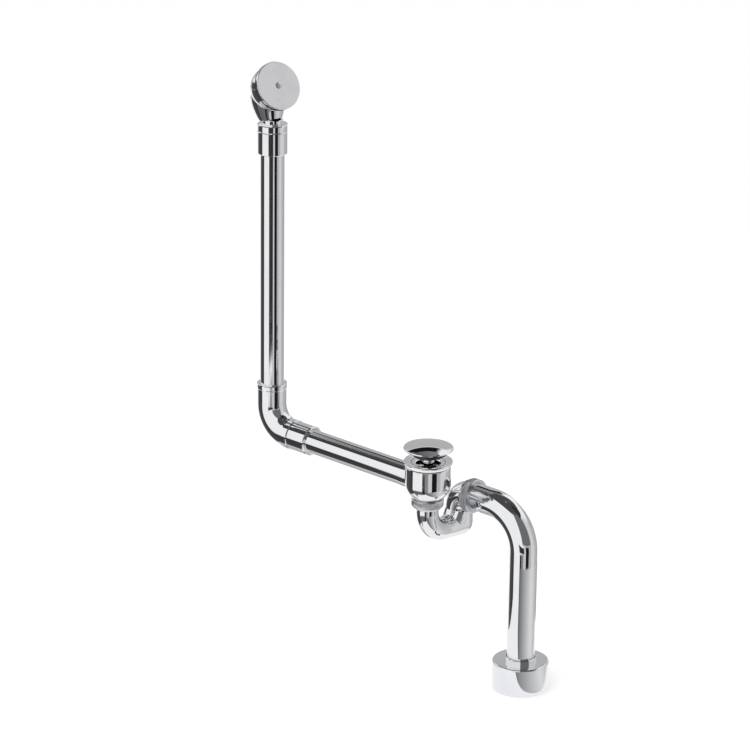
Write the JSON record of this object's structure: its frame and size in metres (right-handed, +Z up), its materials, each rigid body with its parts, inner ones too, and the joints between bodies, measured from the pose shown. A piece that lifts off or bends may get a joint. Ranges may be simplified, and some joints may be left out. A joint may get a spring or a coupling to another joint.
{
  "type": "bath waste and overflow",
  "caption": "Exposed bath waste with a click plug, linked to a tall overflow pipe with a round face plate, and a U trap whose bent outlet pipe drops through a floor cover.",
  "frame": {"origin": "on the waste axis, in the plane where the bath floor is clamped between the flange seal and the body seal", "axes": "+Z up along the waste axis, the overflow pipe stands on the -X side, the outlet arm runs towards +X and the trap lies towards +Y"},
  "size_m": [0.5395, 0.1561, 0.9114],
  "materials": {
    "chrome": "polished",
    "satin_nut": "satin",
    "screw": "polished",
    "spring": "bright",
    "brass": "machined",
    "white_seal": "matt",
    "plug_rubber": "satin",
    "black_rubber": "matt"
  },
  "bodies": {
    "kit": {"waste_body": "chrome", "waste_flange": "chrome", "trap_body": "chrome", "outlet_pipe": "chrome", "link_pipe": "chrome", "lower_elbow": "chrome", "link_coupling_nut": "chrome", "overflow_pipe": "chrome", "overflow_coupling_nut": "chrome", "overflow_elbow": "chrome", "overflow_face_plate": "chrome", "trap_inlet_nut": "satin_nut", "trap_outlet_nut": "satin_nut", "face_plate_screw": "screw", "plug_guide": "brass", "plug_spring": "spring", "flange_seal": "white_seal", "body_seal": "black_rubber", "link_pipe_seal": "black_rubber", "elbow_socket_seal": "black_rubber", "link_coupling_seal": "black_rubber", "overflow_coupling_seal": "black_rubber", "overflow_seal": "black_rubber", "trap_inlet_washer": "black_rubber", "trap_outlet_washer": "black_rubber"},
    "plug": {"plug_stem": "chrome", "plug_seal": "plug_rubber", "plug_cap": "chrome"},
    "cover": {"floor_cover": "chrome", "cover_ring": "black_rubber"}
  },
  "joints": [
    {"name": "plug_lift", "type": "slide", "parent": "kit", "child": "plug", "axis": [0, 0, 1], "range_m": [-0.011, 0], "stiffness_N_per_m": 400, "springref_m": 0.01, "deforming": ["plug_spring"]},
    {"name": "cover_slide", "type": "slide", "parent": "kit", "child": "cover", "axis": [0, 0, 1], "range_m": [0, 0.15]}
  ]
}
